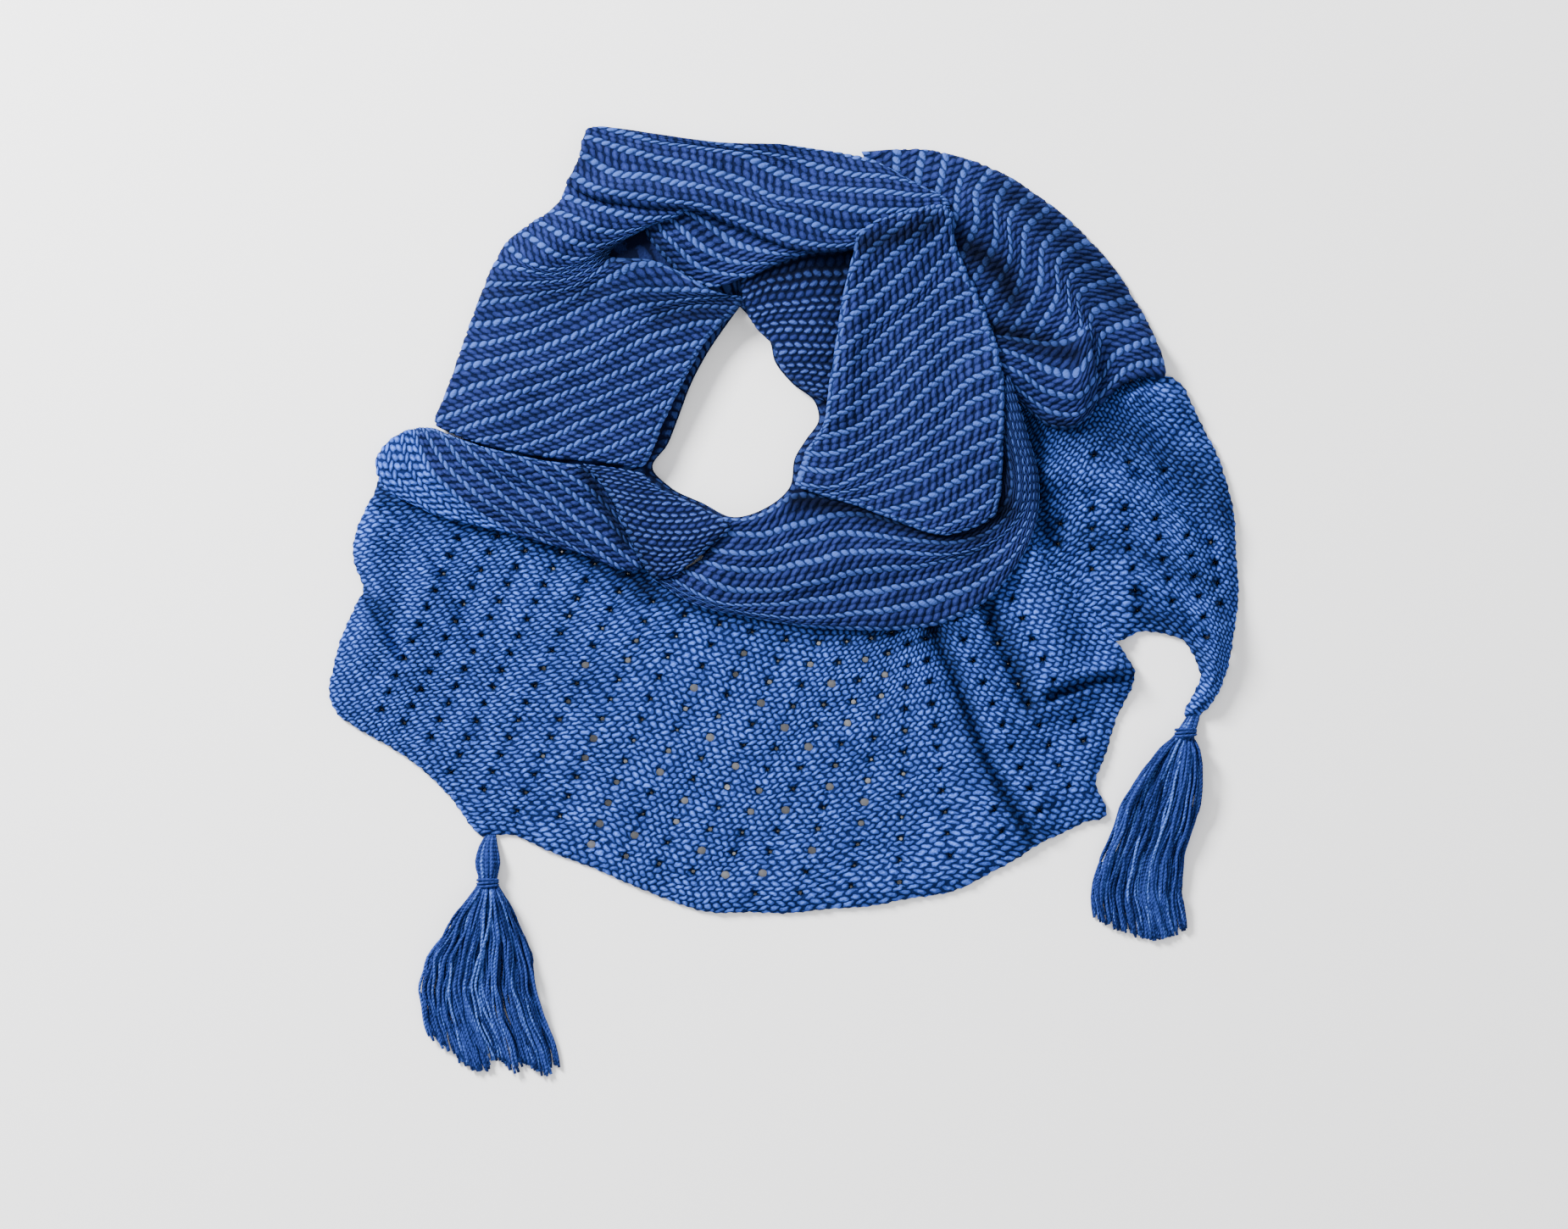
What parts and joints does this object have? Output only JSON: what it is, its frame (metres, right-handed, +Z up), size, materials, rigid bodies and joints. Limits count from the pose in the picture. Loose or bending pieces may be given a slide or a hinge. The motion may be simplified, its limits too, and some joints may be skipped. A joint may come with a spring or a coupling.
{
  "type": "shawl",
  "caption": "Knitted triangular shawl wound into a neck loop and laid flat: striped garter stitch, openwork lace border, tassel at each point",
  "frame": {"origin": "centre of the bounding box on the surface it lies on", "axes": "+X to the right and +Y to the top as seen from above, +Z up from the surface"},
  "size_m": [0.5896, 0.6156, 0.0289],
  "materials": {
    "striped": "matte striped knit",
    "inside": "matte knit, wrong side",
    "lace": "matte openwork knit",
    "tassel": "matte yarn"
  },
  "bodies": {
    "root": {"left_arm": "striped", "top_band": "striped", "top_pleat": "striped", "back_arc": "striped", "arc_fold": "striped", "right_front": "striped", "front_roll": "striped", "left_front": "striped", "neck_inside": "inside", "turned_back": "inside", "hidden_layers": "inside", "lace_front": "lace", "lace_side": "lace", "tassel_left": "tassel", "tassel_right": "tassel"}
  },
  "joints": []
}
